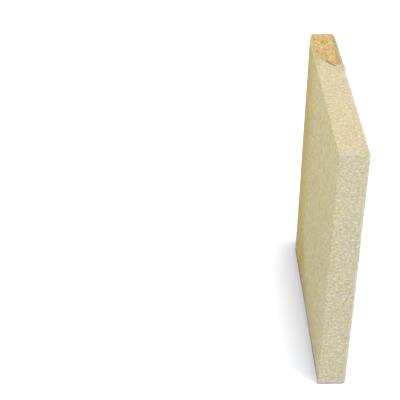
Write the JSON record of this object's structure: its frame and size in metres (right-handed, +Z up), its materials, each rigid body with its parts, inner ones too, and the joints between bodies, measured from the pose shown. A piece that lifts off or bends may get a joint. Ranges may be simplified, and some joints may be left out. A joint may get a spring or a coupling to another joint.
{
  "type": "refractory firebrick",
  "caption": "Flat rectangular fired clay slab for lining a stove's firebox, standing on its short edge, with one broken top corner and worn arrises.",
  "frame": {"origin": "centre of the bounding box at the foot, on the surface that the brick stands on", "axes": "+Z up along the height, Y along the length with the plain end at -Y and the broken end at +Y, X through the thickness with the hot face at -X and the cold face at +X"},
  "size_m": [0.03, 0.26, 0.295],
  "materials": {
    "fireclay": "matt fired fireclay, buff, with a coarse ochre grain where it is broken"
  },
  "bodies": {
    "root": {"firebrick": "fireclay"}
  },
  "joints": []
}
